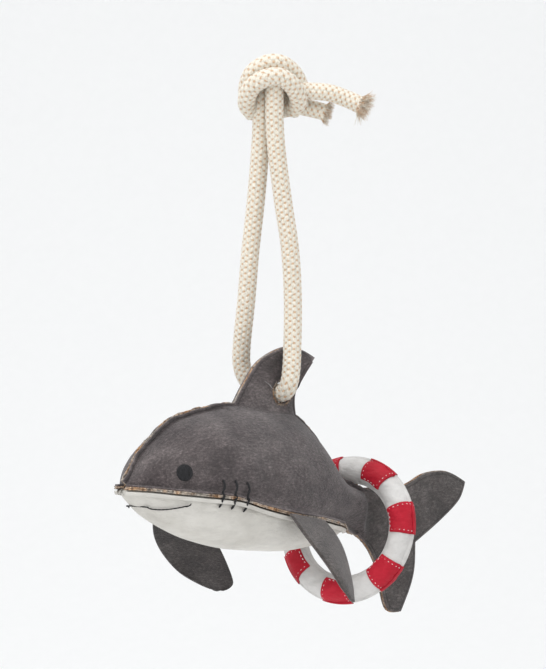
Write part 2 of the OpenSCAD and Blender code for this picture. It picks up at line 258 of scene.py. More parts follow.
def math_node(tree, kind, first, second):
    node = tree.nodes.new("ShaderNodeMath")
    node.operation = kind
    for socket, value in ((node.inputs[0], first), (node.inputs[1], second)):
        if hasattr(value, "links"):
            tree.links.new(value, socket)
        else:
            socket.default_value = value
    return node.outputs[0]


def stored(tree, name):
    node = tree.nodes.new("ShaderNodeAttribute")
    node.attribute_name = name
    return node.outputs["Fac"]


def add_bump(tree, shader, heights):
    normal = None
    for height, distance, strength in heights:
        bump = tree.nodes.new("ShaderNodeBump")
        bump.inputs["Distance"].default_value = distance
        bump.inputs["Strength"].default_value = strength
        tree.links.new(height, bump.inputs["Height"])
        if normal is not None:
            tree.links.new(normal, bump.inputs["Normal"])
        normal = bump.outputs["Normal"]
    tree.links.new(normal, shader.inputs["Normal"])


def grey(v):
    return (v, v, v)


print("finish helper ready")


# %% Suede
def suede(name, dark, mid, light, shade_stitch_groove=True):
    material, tree, shader = finish_of(name, mid, 0.95, sheen=0.22)
    shader.inputs["Sheen Roughness"].default_value = 0.6
    shader.inputs["Specular IOR Level"].default_value = 0.15
    patches = noise(tree, 38, 5)
    clouds = ramp(tree, patches, [(0.3, dark), (0.5, mid), (0.72, light)])
    nap = noise(tree, 640, 5, stretch=(0.5, 1, 1), rough=0.7)
    speck = ramp(tree, nap, [(0.3, grey(0.55)), (0.5, grey(0.95)), (0.62, grey(1.5)), (0.72, grey(2.3))])
    color = blend_color(tree, "MULTIPLY", 1.0, clouds, speck)
    brushed = ramp(tree, noise(tree, 120, 4, stretch=(0.3, 1, 1)), [(0.3, grey(0.74)), (0.7, grey(1.3))])
    color = blend_color(tree, "MULTIPLY", 0.8, color, brushed)
    heights = [(patches, 0.002, 0.6), (nap, 0.0009, 0.9)]
    # Near the seams the colour is paler right at the cut edge, the suede's own, and darker in the stitch groove a
    # little inside it, which is painted shade.
    if shade_stitch_groove:
        groove = ramp(tree, math_node(tree, "MULTIPLY", stored(tree, "edge"), 0.1),
                      [(0.0, grey(1.5)), (0.09, grey(1.25)), (0.15, grey(0.9)), (0.22, grey(0.5)),
                       (0.32, grey(1.0))])
        color = blend_color(tree, "MULTIPLY", 0.85, color, groove)
        heights.append((groove, 0.0008, 0.5))
    tree.links.new(color, shader.inputs["Base Color"])
    add_bump(tree, shader, heights)
    return material


# The tail and the far side fin get darker copies of the same suede: painted shade for parts that lie in shadow or
# turn from the light. The near fin's copy is a little darker than the sides.
suede_side = suede("suede_side", (0.042, 0.033, 0.034), (0.070, 0.057, 0.057), (0.112, 0.094, 0.093))
shaded_tail_suede = suede("shaded_tail_suede", (0.036, 0.030, 0.029), (0.054, 0.046, 0.044), (0.084, 0.074, 0.071))
shaded_far_fin_suede = suede("shaded_far_fin_suede", (0.026, 0.022, 0.022), (0.040, 0.034, 0.033), (0.064, 0.056, 0.054), False)
suede_fin = suede("suede_fin", (0.042, 0.034, 0.032), (0.062, 0.052, 0.049), (0.092, 0.079, 0.074), False)
suede_edge, tree, shader = finish_of("suede_cut_edge", (0.3, 0.27, 0.25), 0.95, sheen=0.3)
tree.links.new(ramp(tree, noise(tree, 700, 3), [(0.3, (0.2, 0.175, 0.165)), (0.7, (0.42, 0.38, 0.35))]),
               shader.inputs["Base Color"])
add_bump(tree, shader, [(noise(tree, 1500, 2), 0.0004, 0.8)])
print("suede ready")


# %% Leather, jute, thread and rope
def leather(name, dark, mid, light, crease=0.7, roughness=0.6, shade_seam_groove=False):
    material, tree, shader = finish_of(name, mid, roughness)
    clouds = ramp(tree, noise(tree, 24, 5), [(0.28, dark), (0.5, mid), (0.75, light)])
    grain = noise(tree, 950, 3)
    creases = noise(tree, 95, 6, stretch=(1, 1, 2.2), rough=0.62)
    # The colour is a little darker in the crease hollows and a touch lighter on their crests: painted shade and
    # painted light that follow the crease bumps.
    fine = ramp(tree, creases, [(0.36, grey(0.93)), (0.5, grey(1.0)), (0.66, grey(1.03))])
    color = blend_color(tree, "MULTIPLY", 0.9, clouds, fine)
    # Where asked, the colour is darkened close to the seam root, read from the groove distance: painted shade in
    # the groove under the lip.
    if shade_seam_groove:
        shade = ramp(tree, math_node(tree, "MULTIPLY", stored(tree, "groove"), 0.1),
                     [(0.0, grey(0.3)), (0.08, grey(0.5)), (0.2, grey(0.85)), (0.45, grey(1.0))])
        color = blend_color(tree, "MULTIPLY", 0.9, color, shade)
    tree.links.new(color, shader.inputs["Base Color"])
    tree.links.new(ramp(tree, creases, [(0.3, grey(roughness + 0.12)), (0.7, grey(roughness - 0.06))]),
                   shader.inputs["Roughness"])
    add_bump(tree, shader, [(creases, 0.0016, crease), (grain, 0.00025, 0.5)])
    return material


# The belly's white leather has painted shade in its seam groove.
white_leather = leather("white_leather", (0.46, 0.44, 0.40), (0.56, 0.54, 0.50), (0.64, 0.62, 0.58), crease=1.0,
                        shade_seam_groove=True)
ring_leather = leather("ring_leather", (0.50, 0.485, 0.47), (0.60, 0.585, 0.57), (0.67, 0.66, 0.645), crease=1.0)
red_leather = leather("red_leather", (0.30, 0.003, 0.012), (0.43, 0.004, 0.020), (0.54, 0.012, 0.034), crease=0.9)
leather_edge, tree, shader = finish_of("leather_cut_edge", (0.7, 0.68, 0.63), 0.9)
tree.links.new(ramp(tree, noise(tree, 800, 3), [(0.3, (0.52, 0.5, 0.45)), (0.7, (0.82, 0.8, 0.76))]),
               shader.inputs["Base Color"])
add_bump(tree, shader, [(noise(tree, 1500, 2), 0.0004, 0.7)])

jute, tree, shader = finish_of("jute_backing", (0.36, 0.2, 0.09), 0.95, sheen=0.2)
weave = noise(tree, 620, 2, stretch=(1, 1, 0.35))
cross = noise(tree, 620, 2, stretch=(0.35, 1, 1))
yarn = math_node(tree, "MAXIMUM", weave, cross)
brown = ramp(tree, yarn, [(0.42, (0.1, 0.055, 0.03)), (0.56, (0.36, 0.20, 0.10)), (0.72, (0.62, 0.42, 0.25))])
pale = ramp(tree, yarn, [(0.42, (0.12, 0.105, 0.09)), (0.56, (0.33, 0.29, 0.25)), (0.72, (0.56, 0.5, 0.43))])
where = ramp(tree, noise(tree, 70, 3), [(0.4, grey(0.0)), (0.58, grey(1.0))])
tree.links.new(blend_color(tree, "MIX", where, pale, brown), shader.inputs["Base Color"])
add_bump(tree, shader, [(yarn, 0.0009, 0.9)])



def thread(name, base, roughness, sheen, scale, stretch, tones, bump):
    material, tree, shader = finish_of(name, base, roughness, sheen)
    strand = noise(tree, scale, 2, stretch=stretch)
    tree.links.new(ramp(tree, strand, [(0.3, tones[0]), (0.7, tones[1])]), shader.inputs["Base Color"])
    add_bump(tree, shader, [(strand, *bump)])
    return material


black_thread = thread("black_thread", (0.008, 0.008, 0.010), 0.75, 0.05, 1400, (1, 1, 0.3),
                      (grey(0.004), (0.020, 0.020, 0.023)), (0.0005, 0.8))
white_thread = thread("white_thread", (0.8, 0.78, 0.74), 0.7, 0.2, 2200, None,
                      (grey(0.6), grey(0.88)), (0.0002, 0.6))

rope_cotton, tree, shader = finish_of("rope_cotton", (0.8, 0.76, 0.68), 0.92, sheen=0.3)
fibre = noise(tree, 1500, 3, stretch=(1, 1, 0.4))
cream = ramp(tree, fibre, [(0.3, (0.56, 0.50, 0.40)), (0.5, (0.75, 0.70, 0.60)), (0.75, (0.86, 0.82, 0.74))])
tan = ramp(tree, fibre, [(0.3, (0.38, 0.23, 0.13)), (0.5, (0.60, 0.40, 0.25)), (0.75, (0.74, 0.56, 0.40))])
soft = ramp(tree, stored(tree, "tone"), [(0.35, grey(0.0)), (0.65, grey(1.0))])
color = blend_color(tree, "MIX", soft, tan, cream)
# Painted shade: the colour darkens where the braid's surface is low, in the hollows between bumps, read from the
# stored height.
shade = ramp(tree, stored(tree, "rise"), [(0.0, grey(0.42)), (0.45, grey(0.9)), (1.0, grey(1.04))])
tree.links.new(blend_color(tree, "MULTIPLY", 0.9, color, shade), shader.inputs["Base Color"])
add_bump(tree, shader, [(fibre, 0.0006, 0.8)])


def dress(piece, *materials):
    for material in materials:
        piece.data.materials.append(material)
    return piece


print("finishes ready:", len(bpy.data.materials))


# %% [markdown]
# ## Braided rope
# A braid is two sets of yarns that pass over and under each other. On the outside that reads as fat
# cream bumps in staggered columns with small tan bumps between them. A plain tube with a picture of
# a braid goes flat at its edges, so here the tube's skin really rises and falls, bump by bump, and
# each point remembers its yarn colour and its height. The finish darkens the low points, which is
# painted shade in the hollows between bumps.

# %% Braid
# Yarn columns round the rope, length of one stitch, rope radius, points round a tube and point spacing.
BRAID_COLUMNS = 12
BRAID_PITCH = 4.9
ROPE_R = 7.5
ROPE_SIDES = 60
ROPE_SPACING = 0.8


def braided_tube(line, radius, start):
    side, up = side_frames(line)
    walk = np.concatenate([[0], np.cumsum(np.linalg.norm(np.diff(line, axis=0), axis=1))]) + start
    angle = np.arange(ROPE_SIDES) * 2 * math.pi / ROPE_SIDES
    s, column = np.meshgrid(walk, angle / (2 * math.pi) * BRAID_COLUMNS, indexing="ij")
    arc = 2 * math.pi * radius / BRAID_COLUMNS
    best_cream, best_tan = np.zeros_like(s), np.zeros_like(s)
    base = np.floor(column)
    for step in (-1, 0, 1, 2):
        k = base + step
        dx = (column - k) * arc
        lean = np.where(k % 2 == 0, 0.12, -0.12) * dx
        shift = (k % 2) * BRAID_PITCH / 2
        near = np.abs((s + lean - shift + BRAID_PITCH / 2) % BRAID_PITCH - BRAID_PITCH / 2)
        far = np.abs((s + lean - shift + BRAID_PITCH) % BRAID_PITCH - BRAID_PITCH / 2)
        cream_bump = np.sqrt(np.clip(1 - (dx / (arc * 0.66)) ** 2 - (near / (BRAID_PITCH * 0.42)) ** 2, 0, 1))
        tan_bump = np.sqrt(np.clip(1 - (dx / (arc * 0.46)) ** 2 - (far / (BRAID_PITCH * 0.25)) ** 2, 0, 1)) * 0.8
        best_cream, best_tan = np.maximum(best_cream, cream_bump), np.maximum(best_tan, tan_bump)
    rise = np.maximum(best_cream, best_tan)
    cream_here = np.where(best_cream >= best_tan, 1.0, 0.0)
    relief = radius * 0.12
    r = radius - relief + relief * rise
    cos, sin = np.cos(angle), np.sin(angle)
    ring = side[:, None, :] * cos[None, :, None] + up[:, None, :] * sin[None, :, None]
    points = line[:, None, :] + ring * r[..., None]
    return points.reshape(-1, 3), cream_here.ravel(), rise.ravel()


def braided_piece(name, runs):
    points, faces, tones, rises = [], [], [], []
    offset = 0
    for line, radius, start in runs:
        p, tone_here, rise_here = braided_tube(line, radius, start)
        rows, columns = len(line), ROPE_SIDES
        caps = [line[0], line[-1]]
        points += list(p) + caps
        tones += list(tone_here) + [1.0, 1.0]
        rises += list(rise_here) + [0.2, 0.2]
        body = grid_faces(rows, columns, closed=True)
        last = (rows - 1) * columns
        ends = [((k + 1) % columns, k, rows * columns) for k in range(columns)]
        ends += [(last + k, last + (k + 1) % columns, rows * columns + 1) for k in range(columns)]
        faces += [tuple(v + offset for v in f) for f in body + ends]
        offset += rows * columns + 2
    piece = mesh_piece(name, np.array(points) * MM, faces)
    add_value(piece, "tone", tones)
    add_value(piece, "rise", rises)
    face_outward(piece)
    return dress(piece, rope_cotton)


# The loop: down the near strand, through the hole in the back fin, up the far strand, in millimetres.
near_strand = [[0, -7.7, 27], [0, -7.7, 12], [0, -7.7, 0], [2, -8, -26], [8, -9, -66], [13.5, -11.5, -106],
               [16, -12, -146], [14.8, -12.6, -184], [13, -13.4, -201], [11.6, -12.4, -212], [11.6, -7, -219]]
far_strand = [[12, 7, -220], [10, 18, -219], [6, 28, -213], [2, 33, -201], [0, 32, -184], [-2, 24, -146],
              [-2, 19, -106], [-1, 13.5, -66], [-0.5, 9, -26], [0, 7.7, 0], [0, 7.7, 12], [0, 7.7, 27]]
loop_line, loop_length = smooth_line(near_strand + far_strand, ROPE_SPACING)
rope_loop = braided_piece("rope_loop", [(loop_line, ROPE_R, 0.0)])
print("rope loop", round(loop_length), "mm long", len(rope_loop.data.vertices), "points")

# %% [markdown]
# ## The knot and its frayed ends
# The two strands are tied together in a doubled overhand knot: the rope turns over itself twice in
# front and again behind, and both tails leave on the right. Each turn is its own run of braid, bent
# where the real one bends, so the knot has the same bumps as the rope below it.

# %% Knot
def seen(right, near, up):
    p = across * right + toward * near
    return [p.x, p.y, up]


knot_turns = [
    [(-12, -10, 5), (-17, 0, 12), (-13.5, 10, 23), (-3, 15, 30), (9, 15, 31.5), (19.5, 10, 25), (24.5, 0, 14),
     (19, -10, 7)],
    [(-10, -14, 9), (-16.5, -7, 21), (-13, 1, 34.5), (-2, 5, 42.5), (9.5, 4.5, 43), (20, -1, 36), (25.5, -7, 23),
     (20, -14, 11)],
    [(-9, -17, 14), (-12, -17, 26), (-4, -13, 36.5), (7, -12, 37.5), (16, -15, 30), (17, -18, 18), (9, -17, 9)],
    [(-14, -10, 8), (-4, -16, 7.5), (8, -16, 8), (18, -9, 9)],
]
runs = []
for k, turn in enumerate(knot_turns):
    line, _ = smooth_line([seen(*place) for place in turn], ROPE_SPACING)
    runs.append((line, ROPE_R, 1.7 * k))
rope_knot = braided_piece("rope_knot_turns", runs)

front_end = [[15, -13, 22], [26, -23, 21.5], [37, -33, 20], [48, -42, 15], [55, -49, 10.5]]
back_end = [[18, 0, 12], [27, -7, 10.5], [36, -15, 8], [43, -21, 5.5]]
front_line, front_length = smooth_line(front_end, ROPE_SPACING)
back_line, back_length = smooth_line(back_end, ROPE_SPACING)
front_tail = braided_piece("rope_front_tail", [(front_line, 7.1, 0.9)])
back_tail = braided_piece("rope_back_tail", [(back_line, 7.0, 2.1)])
print("knot", len(rope_knot.data.vertices), "points; tails", round(front_length), round(back_length), "mm")


# %% [markdown]
# Loose fibres: cut rope and cut jute fray. A fibre is a thin tapered thread with four sides and a few
# joints, bent a little by chance. The chance is seeded, so every run grows the same fibres.

# %% Loose fibres
FIBRE_JOINTS = 5


def fibres(name, seed, roots, thickness, wander, materials, tones=None):
    chance = np.random.default_rng(seed)
    points, faces, tone_values = [], [], []
    for n, (root, direction, length) in enumerate(roots):
        at, heading = np.array(root, dtype=float), unit(direction)
        start = len(points)
        tone_here = 1.0 if tones is None else tones[n]
        for j in range(FIBRE_JOINTS):
            side = unit(np.cross(heading, (0.4, 0.5, 0.77)))
            other = np.cross(heading, side)
            r = thickness * (1 - 0.75 * j / (FIBRE_JOINTS - 1)) / 2
            points += [at + side * r, at + other * r, at - side * r, at - other * r]
            tone_values += [tone_here] * 4
            heading = unit(heading + chance.normal(0, wander, 3))
            at = at + heading * length / (FIBRE_JOINTS - 1)
        for j in range(FIBRE_JOINTS - 1):
            for k in range(4):
                a, b = start + 4 * j + k, start + 4 * j + (k + 1) % 4
                faces.append((a, b, b + 4, a + 4))
        faces.append(tuple(start + k for k in (3, 2, 1, 0)))
        faces.append(tuple(start + 4 * (FIBRE_JOINTS - 1) + k for k in range(4)))
    piece = mesh_piece(name, np.array(points) * MM, faces)
    add_value(piece, "tone", tone_values)
    add_value(piece, "rise", [0.8] * len(tone_values))
    return dress(piece, *materials)


def brush(line, radius, count, length, seed, spread):
    chance = np.random.default_rng(seed)
    heading = unit(line[-1] - line[-4])
    side = unit(np.cross(heading, (0, 0, 1)))
    other = np.cross(heading, side)
    roots, tones = [], []
    for _ in range(count):
        a, r = chance.uniform(0, 2 * math.pi), radius * math.sqrt(chance.uniform(0, 1))
        out = side * math.cos(a) + other * math.sin(a)
        lean = heading + out * spread * r / radius + chance.normal(0, 0.12, 3)
        roots.append((line[-1] - heading * 1.2 + out * r, lean, length * chance.uniform(0.55, 1.15)))
        tones.append(1.0 if chance.uniform() < 0.55 else 0.0)
    return roots, tones


roots, tones = brush(front_line, 6.8, 520, 11.5, 11, 0.6)
front_fray = fibres("rope_front_fray", 12, roots, 0.62, 0.22, [rope_cotton], tones)
roots, tones = brush(back_line, 6.6, 380, 7.5, 21, 0.6)
back_fray = fibres("rope_back_fray", 22, roots, 0.62, 0.22, [rope_cotton], tones)
for piece in (rope_loop, rope_knot, front_tail, back_tail, front_fray, back_fray):
    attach(piece, "rope")
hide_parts("rope_near_strand", "rope_far_strand")
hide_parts("rope_knot")
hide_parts("rope_front_end")
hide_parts("rope_back_end")
print("frayed ends", len(front_fray.data.polygons) + len(back_fray.data.polygons), "faces")

# %% [markdown]
# ## The suede sides
# Each side of the shark is one piece of suede, from the nose over the back fin to the tip of the tail,
# sewn to its twin along the back and to the belly below. So it is one sheet here too. Its columns run
# from belly to back; where the fin stands, they run on up to the fin's outline, and past the stuffed
# stem they run between the two edges of the tail.

# %% Seam lines of the body
# From nose to stem: ridge x and z, seam x, y and z, belly x and z, side bulge, turn of the lip in degrees.
BODY_ROWS = [
    [-159, -67.2, -159, 3.4, -70, -159, -72.8, 0.2, 0], [-151, -55, -153, 14, -70.5, -151, -82, 1, 0],
    [-143, -44, -144, 22, -71.5, -141, -90, 2, 0], [-130, -33, -130, 31, -73.5, -127, -99, 2.5, 0],
    [-111, -21, -109, 38, -76, -109, -108, 3, 0], [-82, -14, -82, 43, -79.5, -82, -117, 3, 0],
    [-52, -11, -52, 44, -88, -52, -123, 3, 0], [-20, -15, -20, 42, -95, -20, -126, 4, 0],
    [8, -18, 8, 36, -99, 8, -126.5, 5, 0], [30, -32, 30, 28, -103, 30, -124.5, 7, 0],
    [52, -59, 50, 18, -107, 50, -119.5, 9, 0], [67, -73, 66, 6, -110, 66, -115.5, 12, 45],
    [80, -79, 80, 0, -113, 80, -115, 12.5, 90], [88, -82, 88, 0, -117, 88, -120, 9, 90],
    [94, -84, 94, 0, -121, 94, -123, 0, 90],
]
HOLE = np.array([12.0, 0.0, -220.0])
HOLE_R = 8.7
# Suede with its backing, suede alone, raw edge beyond the seam, and how far round a side arches.
SKIN, SUEDE, RAW_EDGE, ARCH = 2.4, 1.6, 3.5, math.radians(78)


def ridge(u):
    r = along(BODY_ROWS, u)
    return np.array([r[0], 0, r[1]])


def seam(u):
    return along(BODY_ROWS, u)[2:5]


def belly(u):
    r = along(BODY_ROWS, u)
    return np.array([r[5], 0, r[6]])


def lip_turn(u):
    return math.radians(min(90, max(0, along(BODY_ROWS, u)[8])))


def ridge_out(u):
    t = unit(ridge(min(u + 0.02, 14)) - ridge(max(u - 0.02, 0)))
    return np.array([-t[2], 0, t[0]])


def lip_out(u):
    t = seam(min(u + 0.02, 14)) - seam(max(u - 0.02, 0))
    p, a = unit([-t[1], t[0], 0]), lip_turn(u)
    return np.array([p[0] * math.cos(a), p[1] * math.cos(a), -math.sin(a)])


def lip_up(u):
    return np.array([0, math.sin(lip_turn(u)), math.cos(lip_turn(u))])


def side_root(u, d):
    return seam(u) + lip_up(u) * (SKIN - d) - lip_out(u) * d


def side_top(u, d):
    return ridge(u) - ridge_out(u) * d + np.array([0, SKIN - d, 0])


def side_point(u, t, d):
    a, b = side_root(u, d), side_top(u, d)
    fy = (math.cos(ARCH * t) - math.cos(ARCH)) / (1 - math.cos(ARCH))
    fz = math.sin(ARCH * t) / math.sin(ARCH)
    bulge = along(BODY_ROWS, u)[7]
    return np.array([a[0] + (b[0] - a[0]) * fz, b[1] + (a[1] - b[1]) * fy + bulge * math.sin(math.pi * t),
                     a[2] + (b[2] - a[2]) * fz])


def belly_point(u, w, d):
    a, b = seam(u) - lip_up(u) * (SKIN - d) - lip_out(u) * d, belly(u) + np.array([0, 0, d])
    return np.array([a[0] + (b[0] - a[0]) * math.sin(w), a[1] * math.cos(w), a[2] + (b[2] - a[2]) * math.sin(w)])


print("nose at", np.round(ridge(0) + HOLE, 1), "stem ends at", np.round(ridge(14) + HOLE, 1))

# %% Side panel with fin and tail
FIN_FRONT = [[-50, 0, -10], [-38, 0, 8], [-22, 0, 26], [4, 0, 36.5], [22, 0, 34.5], [37, 0, 28]]
FIN_REAR = [[37, 0, 28], [22, 0, 11], [15, 0, -4], [17, 0, -23]]
TAIL_TOP = [[98, 0, -80.5], [125, 0, -83], [146, 0, -78], [164, 0, -71], [190, 0, -70], [212, 0, -79]]
TAIL_REAR = [[212, 0, -79], [204, 0, -94], [180, 0, -111], [152, 0, -127]]
TAIL_LOWER = [[152, 0, -127], [151, 0, -148], [146, 0, -164], [135, 0, -184]]
TAIL_FRONT = [[135, 0, -184], [121, 0, -182], [114, 0, -166], [109, 0, -146], [98, 0, -128]]
BODY_STEPS, FLANGE_STEPS = 26, 12
# The back fin stands between these two places along the body, counted in body rows.
FIN_FROM, FIN_TO = 6.05, 8.35
# Rounds of averaging that soften the fold where the fin meets the body.
FIN_FOOT_PASSES = 26


def spaced(points, count):
    fine = np.array([along(points, k / 40) for k in range(40 * (len(points) - 1) + 1)])
    walk = np.concatenate([[0], np.cumsum(np.linalg.norm(np.diff(fine, axis=0), axis=1))])
    want = np.linspace(0, walk[-1], count)
    return np.stack([np.interp(want, walk, fine[:, k]) for k in range(3)], axis=1)


fin_edge = np.concatenate([spaced(FIN_FRONT, 40), spaced(FIN_REAR, 22)[1:]])
fin_us = np.linspace(FIN_FROM, FIN_TO, len(fin_edge))
tail_low = np.concatenate([spaced(TAIL_FRONT[::-1], 22), spaced(TAIL_LOWER[::-1], 16)[1:],
                           spaced(TAIL_REAR[::-1], 26)[1:]])
tail_share = np.concatenate([np.linspace(0, 0.24, 22), np.linspace(0.24, 0.42, 16)[1:],
                             np.linspace(0.42, 1, 26)[1:]])
tail_high_fine = spaced(TAIL_TOP, 200)
even_share = np.linspace(0, 1, 200)
tail_high = np.stack([np.interp(tail_share, even_share, tail_high_fine[:, k]) for k in range(3)], axis=1)
outline = np.concatenate([tail_low, spaced(TAIL_TOP[::-1], 60)])


def to_line(points, line):
    a, b = line[:-1], line[1:]
    best = np.full(len(points), 1e9)
    for p, q in zip(a, b):
        t = np.clip(((points - p) @ (q - p)) / max(np.dot(q - p, q - p), 1e-9), 0, 1)
        best = np.minimum(best, np.linalg.norm(points - p - t[:, None] * (q - p), axis=1))
    return best


# The raw edges run straight where the near side fin leaves the seam, so that it can flap past them.
SIDE_FIN_ROW, CALM_ROWS = 7.35, 1.6


def calm_at_fin(u):
    return min(1.0, abs(u - SIDE_FIN_ROW) / CALM_ROWS)


def side_grid(d, extra=0.0, rough=0.0, seed=3):
    chance = np.random.default_rng(seed)
    columns = []
    us = np.concatenate([np.linspace(0, FIN_FROM, 66)[:-1], fin_us, np.linspace(FIN_TO, 14, 62)[1:]])
    for u in us:
        waver = 0.45 * math.sin(3.1 * u + seed) + 0.3 * math.sin(8.3 * u + 2 * seed)
        edge = RAW_EDGE + (extra + waver + chance.uniform(-rough, rough)) * calm_at_fin(u)
        low = side_root(u, d) + lip_out(u) * (edge + d)
        body = [side_point(u, j / BODY_STEPS, d) for j in range(BODY_STEPS + 1)]
        top = side_top(u, d) + ridge_out(u) * (edge + d)
        if FIN_FROM <= u <= FIN_TO:
            k = int(round((u - FIN_FROM) / (FIN_TO - FIN_FROM) * (len(fin_edge) - 1)))
            target = fin_edge[k].copy()
            target[1] = SKIN - d
            if np.dot(target - side_top(u, d), ridge_out(u)) > RAW_EDGE:
                top = target + ridge_out(u) * (edge - RAW_EDGE)
        base = side_top(u, d)
        flange = [base + (top - base) * (k / FLANGE_STEPS) for k in range(1, FLANGE_STEPS + 1)]
        columns.append([low, (low + body[0]) / 2] + body + flange)
    columns = np.array(columns)
    window = range(2 + BODY_STEPS - 7, 2 + BODY_STEPS + 6)
    fin_columns = [k for k, u in enumerate(us) if 5.7 < u < 8.7]
    for _ in range(FIN_FOOT_PASSES):
        y = columns[:, :, 1].copy()
        for j in window:
            for c in fin_columns:
                columns[c, j, 1] = 0.5 * y[c, j] + 0.25 * (y[c, j - 1] + y[c, j + 1])
    last = columns[-1]
    share = (last[:, 2] - last[0, 2]) / (last[-1, 2] - last[0, 2])
    tail = []
    for low, high in zip(tail_low[1:], tail_high[1:]):
        out = unit(high - low) * (edge - RAW_EDGE)
        column = (low - out)[None, :] + share[:, None] * (high - low + 2 * out)[None, :]
        column[:, 1] = SKIN - d
        tail.append(column)
    return np.concatenate([columns, np.array(tail)])


def side_sheet(name, d, thickness, side, extra=0.0, rough=0.0, seed=3, soft=0.0):
    grid = side_grid(d, extra, rough, seed)
    rows, columns = grid.shape[:2]
    flat = grid.reshape(-1, 3)
    if soft:
        swell = wobble(flat, 21, 2.0) * 0.7 + wobble(flat, 8, 5.0) * 0.25
        inner = np.clip((grid[..., 1] - 5) / 12, 0, 1).ravel()
        flat = flat + np.stack([np.zeros(len(flat)), swell * inner * soft, swell * inner * soft * 0.5], axis=1)
    plan, shaped = flat * [1, 0, 1], flat.reshape(rows, columns, 3)
    edge = np.minimum(to_line(plan, fin_edge * [1, 0, 1]), to_line(plan, outline * [1, 0, 1]))
    edge = np.minimum(edge, 30)
    lip = np.linalg.norm(shaped - shaped[:, :1], axis=2)
    crest = np.linalg.norm(shaped - shaped[:, -1:], axis=2)
    edge = np.minimum(edge.reshape(rows, columns), np.minimum(lip, crest))
    world = flat * [1, side, 1] + HOLE
    piece = mesh_piece(name, world * MM, grid_faces(rows, columns, flip=side < 0))
    face_toward(piece, (0, side, 0))
    # The distance to the sheet's edges, which the suede uses to paint shade in the stitch groove.
    add_value(piece, "edge", edge)
    return thicken(piece, thickness * MM, rim_material=1)


def tail_faces_to(piece, index, from_x):
    for face in piece.data.polygons:
        if face.material_index == 0 and face.center.x > from_x:
            face.material_index = index


for side, name in ((-1, "left"), (1, "right")):
    skin = side_sheet(f"{name}_suede_side", 0, SUEDE, side, soft=1.0)
    dress(skin, suede_side, suede_edge, shaded_tail_suede)
    # Faces past the stem take the darker tail suede, which is painted shade.
    tail_faces_to(skin, 2, 0.108)
    backing = side_sheet(f"{name}_jute_side", SUEDE, SKIN - SUEDE, side, extra=0.5, rough=0.45, seed=7 + side)
    dress(backing, jute, jute)
    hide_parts(f"{name}_side_panel", f"{name}_tail_panel")
    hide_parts(f"{name}_backing")
    print(name, "side", len(skin.data.polygons), "faces")

# %% [markdown]
# The hole for the rope is punched through all the sheets of the fin at one place, as a punch does on
# the real toy: a round cutter goes through each sheet and takes out what it covers.

# %% Punch the hole
def punch(piece):
    bpy.ops.object.select_all(action="DESELECT")
    bpy.ops.mesh.primitive_cylinder_add(vertices=64, radius=HOLE_R * MM, depth=0.03, location=tuple(HOLE * MM),
                                        rotation=(math.pi / 2, 0, 0))
    cutter = bpy.context.object
    only(piece)
    cut = piece.modifiers.new("hole", "BOOLEAN")
    cut.operation = "DIFFERENCE"
    cut.solver = "EXACT"
    cut.object = cutter
    bpy.ops.object.modifier_move_to_index(modifier=cut.name, index=0)
    bpy.ops.object.modifier_apply(modifier=cut.name)
    bpy.data.objects.remove(cutter)


for piece in [o for o in bpy.data.objects if o.name.endswith(("_suede_side", "_jute_side"))]:
    before = len(piece.data.polygons)
    punch(piece)
    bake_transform(piece)
    print(piece.name, before, "->", len(piece.data.polygons))

# %% [markdown]
# Cutting the jute leaves a fringe of short brown fibres round the hole, and one long pale thread has
# worked loose on the left side.

# %% Fringe round the hole
chance = np.random.default_rng(31)
roots = []
suede_sides = {-1: bpy.data.objects["left_suede_side"], 1: bpy.data.objects["right_suede_side"]}
for side in (-1, 1):
    for _ in range(190):
        a = chance.uniform(0, 2 * math.pi)
        out = np.array([math.cos(a), 0, math.sin(a)])
        turned = np.array([-out[2], 0, out[0]]) * chance.choice([-1, 1])
        root = HOLE + out * chance.uniform(8.8, 9.6)
        start = Vector((root[0] * MM, side * 0.1, root[2] * MM))
        found, place, _, _ = suede_sides[side].ray_cast(start, Vector((0, -side, 0)))
        root[1] = place.y / MM + side * 0.15 if found else side * SKIN
        heading = turned + out * chance.uniform(0.0, 0.7) + [0, side * 0.25, 0]
        roots.append((root, heading, chance.uniform(1.8, 4.4)))
fringe = fibres("hole_fringe", 32, roots, 0.4, 0.16, [jute])
thread_root = HOLE + [-9.2, -SKIN - 0.2, 3.0]
thread_root_and_way = [(thread_root, (-0.6, -0.25, 1.0), 13.0)]
loose_thread = fibres("loose_thread", 36, thread_root_and_way, 0.3, 0.3, [white_thread])
for piece in (fringe, loose_thread):
    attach(piece, "shark")
print("fringe", len(roots), "fibres")

# %% [markdown]
# ## Belly
# The belly is one piece of off-white leather that bulges down between the two seams. It keeps soft
# creases where it is pulled by the stitching, strongest near the seams and at the nose.

# %% Belly panel
LIP_ROLL = [(1.0, 1.6), (0.93, 2.7), (0.75, 3.5), (0.52, 3.5), (0.3, 2.6), (0.12, 1.0)]


